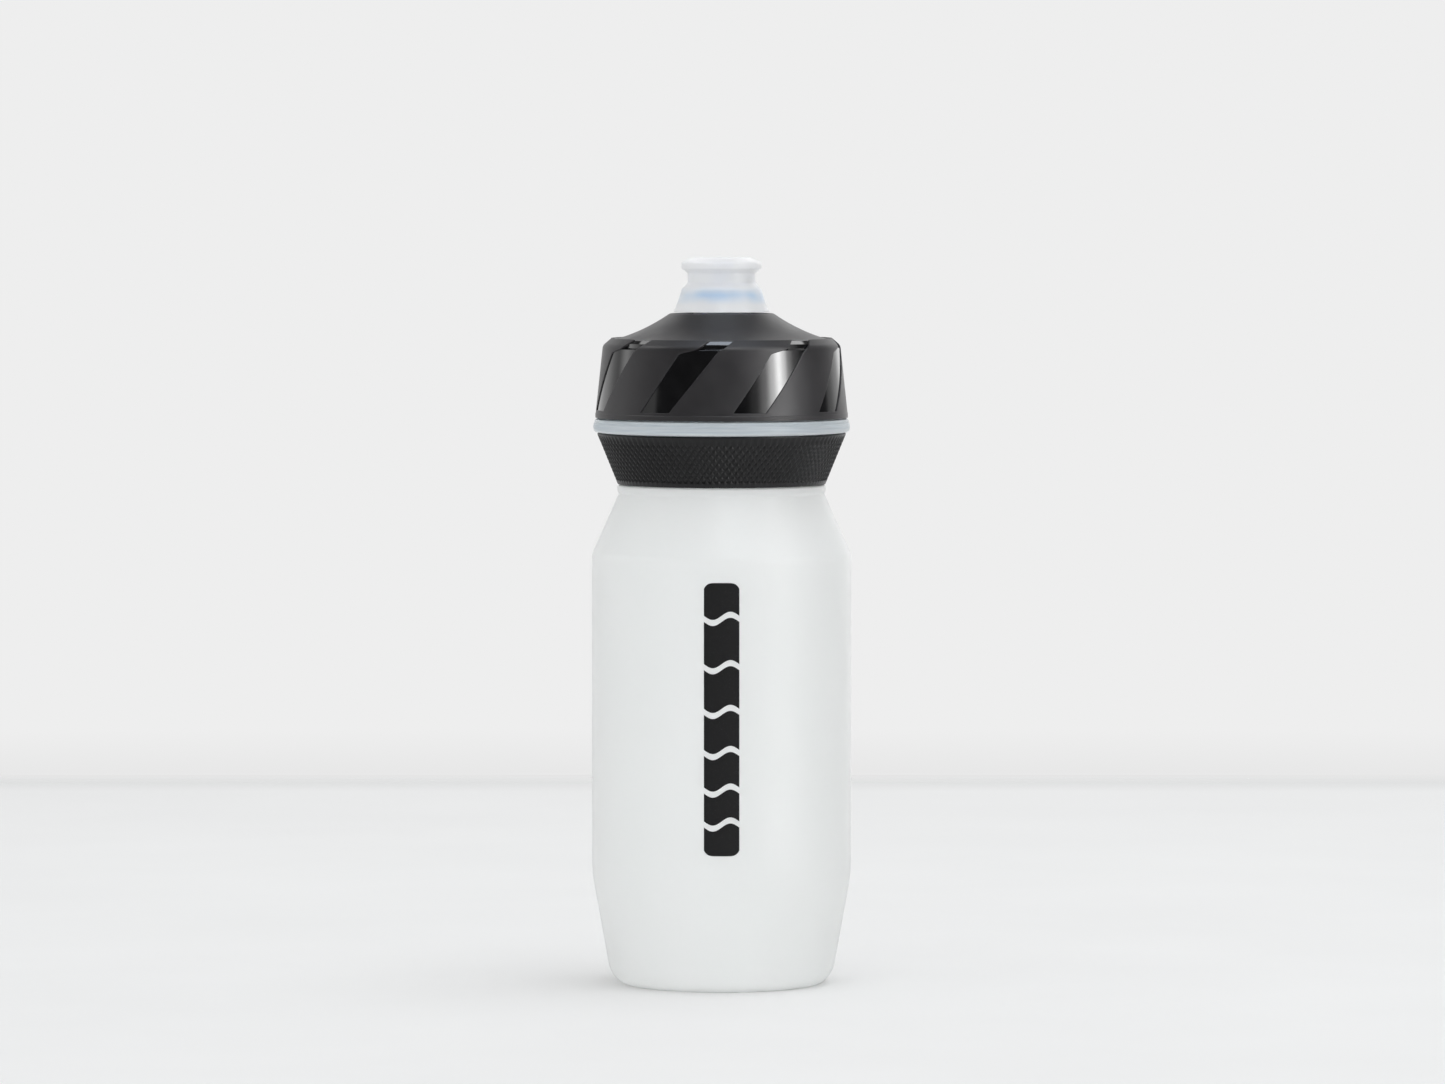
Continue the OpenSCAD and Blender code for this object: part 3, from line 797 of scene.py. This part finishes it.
def make_print(look):
    """A generic mark: a rounded column cut by ripples."""
    verts, faces = [], []

    def bar(low, high):
        """The outline of one bar, for printed_patch."""
        def place(s, t):
            across = blend(-PRINT_HALF, PRINT_HALF, s)
            ripple = PRINT_RIPPLE * math.sin(math.pi * across / PRINT_HALF)
            round_off = PRINT_ROUND * (abs(2 * s - 1) ** 6)
            bottom = low + (PRINT_GAP / 2 + ripple if low > PRINT_BARS[0] else round_off)
            top = high - (PRINT_GAP / 2 - ripple if high < PRINT_BARS[-1] else round_off)
            return across, blend(bottom, top, t)
        return place

    for low, high in zip(PRINT_BARS, PRINT_BARS[1:]):
        printed_patch(verts, faces, bar(low, high), columns=28, lines=10)
    piece("printed_mark", verts, faces, "bottle", [look], sharp=50)


# ---------------------------------------------------------------- pieces

soft_touch, polished = soft_touch_look(), polished_look()
make_bottle(bottle_look())
make_band(rubber_look())
make_shell(polished, soft_touch)
make_soft_layer(soft_touch)
make_mouthpiece(mouthpiece_look())
make_print(ink_look())

# The CAD nodes that stay visible.
clear, silicone = core_look(), silicone_look()
node_looks = {"cap_gasket": silicone, "slide_seal": silicone, "deck_seal": seal_look(),
              "flow_plug": blue_look(), "spout_post": clear, "nozzle_core": clear}
for node, look in node_looks.items():
    for material_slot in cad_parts[node].material_slots:
        material_slot.material = look


# ---------------------------------------------------------------- stage, light and camera

# How bright the room is to the eye, and at the foot of its wall, where it is darkened by painted shade, and as
# a light, and the point that lamps face.
PALE = 0.855
PALE_FOOT = PALE - 0.055
AMBIENT = 0.79
CENTRE = (0.0, 0.0, 0.17)


def make_floor():
    """A wide pale floor with a band of painted shade where it meets the wall. The floor fades into the wall.
    """
    wide, far = 3, 0.75
    mesh = bpy.data.meshes.new("floor")
    corners = [(-wide, -wide, 0), (wide, -wide, 0), (wide, far, 0), (-wide, far, 0)]
    mesh.from_pydata(corners, [], [(0, 1, 2, 3)])
    look = Look("floor_paper", (0.86, 0.86, 0.86), 0.8, Specular_IOR_Level=0.0)
    depth = look.axis("Y")
    tone = look.spread(look.noise(120.0, 3.0), 0.3, 0.7)
    look.colour(look.tint(tone, (0.855, 0.857, 0.855), (0.875, 0.877, 0.875)))
    # Painted shade: a darker band near the far edge stands in for the shadow where the floor meets the wall.
    look.tint_over(look.spread(depth, far - 0.085, far - 0.045), (0.79, 0.792, 0.79))
    fade = look.spread(depth, far - 0.05, far - 0.005, 1.0, 0.0)
    look.tree.links.new(fade, look.shader.inputs["Alpha"])
    mesh.materials.append(look.mat)
    put("floor", mesh)


# An area lamp's watts for each square metre of its face at level 1.
LAMP_POWER = 4


def softbox(name, place, width, height, glow, fill, tone=(1, 1, 1), shadow=True):
    """A soft lamp that faces the cap.

    glow is how bright its face looks in a reflection, and fill how bright it is as a light. Each is a lamp of
    its own.
    """
    for kind, level in (("glow", glow), ("fill", fill)):
        if not level:
            continue
        light = bpy.data.lights.new(name + "_" + kind, "AREA")
        light.shape = "RECTANGLE"
        light.size, light.size_y = width, height
        light.energy = LAMP_POWER * width * height * level
        light.color = tone
        light.use_shadow = shadow
        made = put(light.name, light)
        made.location = place
        made.rotation_euler = (Vector(CENTRE) - Vector(place)).to_track_quat("-Z", "Y").to_euler()
        made.visible_camera = False
        made.visible_glossy = kind == "glow"
        made.visible_diffuse = made.visible_transmission = kind == "fill"


def round_bottle(angle, rise, distance):
    """A place round the cap, at an angle about the axis and a rise above the horizon, in metres."""
    a, e = math.radians(angle), math.radians(rise)
    level = distance * math.cos(e)
    return level * math.sin(a), -level * math.cos(a), CENTRE[2] + distance * math.sin(e)


# What glossy faces see round the horizon, as angles from the front and brightness: a tall soft light at the
# right, a strip at the left, the pale wall behind, and dark between. GLOW_HEIGHTS fades it out upwards.
GLOW = ((-180, 0.9), (-158, 1.0), (-140, 0.9), (-118, 0.5), (-105, 1.6), (-97, 1.0), (-88, 0.4), (-66, 0.45),
        (-61, 0.04), (22, 0.03), (32, 0.3), (42, 1.6), (50, 6.0), (57, 13.0), (62, 8.0), (68, 2.2), (75, 0.6),
        (86, 0.05), (113, 0.05), (121, 0.5), (138, 1.0), (155, 1.7), (168, 1.2), (180, 0.9))
GLOW_TOP = 13.0
GLOW_HEIGHTS = ((0.0, 1.0), (0.4, 1.0), (0.58, 0.25), (0.72, 0.03), (1.0, 0.02))


def make_world():
    """A pale room. Glossy faces see lights and the wall behind, and dark elsewhere, as in a studio."""
    world = bpy.data.worlds.new("studio")
    world.use_nodes = True
    tree = world.node_tree
    node = partial(add_node, tree)

    def math_node(operation, *values, **settings):
        """The result of a Math node."""
        inputs = {"i%d" % i: value for i, value in enumerate(values)}
        return node("ShaderNodeMath", {"operation": operation, **settings}, **inputs).outputs[0]

    def stops(value, levels):
        """The level at value, from pairs of a place and its level."""
        made = node("ShaderNodeValToRGB", Fac=value)
        ramp = made.color_ramp
        ramp.interpolation = "EASE"
        while len(ramp.elements) < len(levels):
            ramp.elements.new(0.5)
        for stop, (place, level) in zip(ramp.elements, levels):
            stop.position = place
            stop.color = (level, level, level, 1)
        return made.outputs["Color"]

    way = node("ShaderNodeSeparateXYZ", i0=node("ShaderNodeTexCoord").outputs["Generated"]).outputs
    angle = math_node("ARCTAN2", way["X"], math_node("MULTIPLY", way["Y"], -1.0))
    place = node("ShaderNodeMapRange", Value=angle, From_Min=-math.pi, From_Max=math.pi).outputs[0]
    ring = stops(place, [(0.5 + degrees / 360, level / GLOW_TOP) for degrees, level in GLOW])
    glow = math_node("MULTIPLY", math_node("MULTIPLY", ring, stops(way["Z"], GLOW_HEIGHTS)), GLOW_TOP)
    mirror = node("ShaderNodeBackground", Strength=glow, Color=(1, 1, 1, 1))
    # Painted shade: the wall is darker in a thin band at its foot, just above the floor's far edge.
    foot = node("ShaderNodeMapRange", Value=way["Z"], From_Min=-0.0795, From_Max=-0.0735,
                To_Min=PALE_FOOT, To_Max=PALE).outputs[0]
    room = node("ShaderNodeBackground", Strength=foot, Color=(1, 1, 1, 1))
    ambient = node("ShaderNodeBackground", Color=(AMBIENT, AMBIENT, AMBIENT, 1))
    path = node("ShaderNodeLightPath").outputs
    glossy = math_node("SUBTRACT", path["Is Glossy Ray"], path["Is Transmission Ray"], use_clamp=True)
    lit = node("ShaderNodeMixShader", i0=path["Is Diffuse Ray"], i1=room.outputs[0], i2=ambient.outputs[0])
    seen = node("ShaderNodeMixShader", i0=glossy, i1=lit.outputs[0], i2=mirror.outputs[0])
    tree.links.new(seen.outputs[0], tree.nodes["World Output"].inputs["Surface"])
    world.cycles.sampling_method = "NONE"
    scene.world = world


make_floor()
make_world()
softbox("overhead", (0.3, 0.0, 1.6), 1.2, 0.9, 0.0, 1.4, (0.94, 0.97, 1.0))
softbox("top_strip", (0.0, -0.12, 1.6), 1.2, 0.3, 3.6, 0.0, (0.8, 0.88, 1.0))
softbox("front_top", round_bottle(12, 50, 1.6), 0.42, 0.5, 11.0, 0.3, (0.95, 0.98, 1.0))
softbox("right_high", round_bottle(64, 42, 1.5), 0.45, 0.4, 5.0, 0.2)
softbox("left_high", round_bottle(-94, 45, 1.5), 0.4, 0.4, 6.0, 0.3)
softbox("back_right", round_bottle(164, 30, 1.5), 0.5, 0.3, 1.3, 0.0)
softbox("back_left", round_bottle(-164, 30, 1.5), 0.5, 0.3, 1.0, 0.0)
softbox("side_right", round_bottle(126, 50, 1.5), 0.4, 0.3, 2.6, 0.0)
softbox("side_left", round_bottle(-126, 50, 1.5), 0.4, 0.3, 1.6, 0.0)
softbox("front_low", (-0.9, -2.4, 0.25), 2.6, 0.5, 0.0, 1.95, (0.93, 0.97, 1.0))
softbox("bounce", (0.0, -0.6, -1.2), 1.2, 1.2, 0.0, 0.62, shadow=False)

# The camera stands 2.2 m in front of the bottle and looks 2.8 degrees down.
camera = put("camera", bpy.data.cameras.new("camera"))
camera.data.lens = 194.3
camera.location = (0.00025, -2.207, 0.2348)
camera.rotation_euler = (math.radians(90 - 2.842), 0, 0)
scene.camera = camera
scene.view_settings.view_transform = "Standard"

# Light goes through many translucent walls.
scene.cycles.max_bounces = 24
scene.cycles.transmission_bounces = 24
scene.cycles.diffuse_bounces = 10
scene.cycles.glossy_bounces = 8
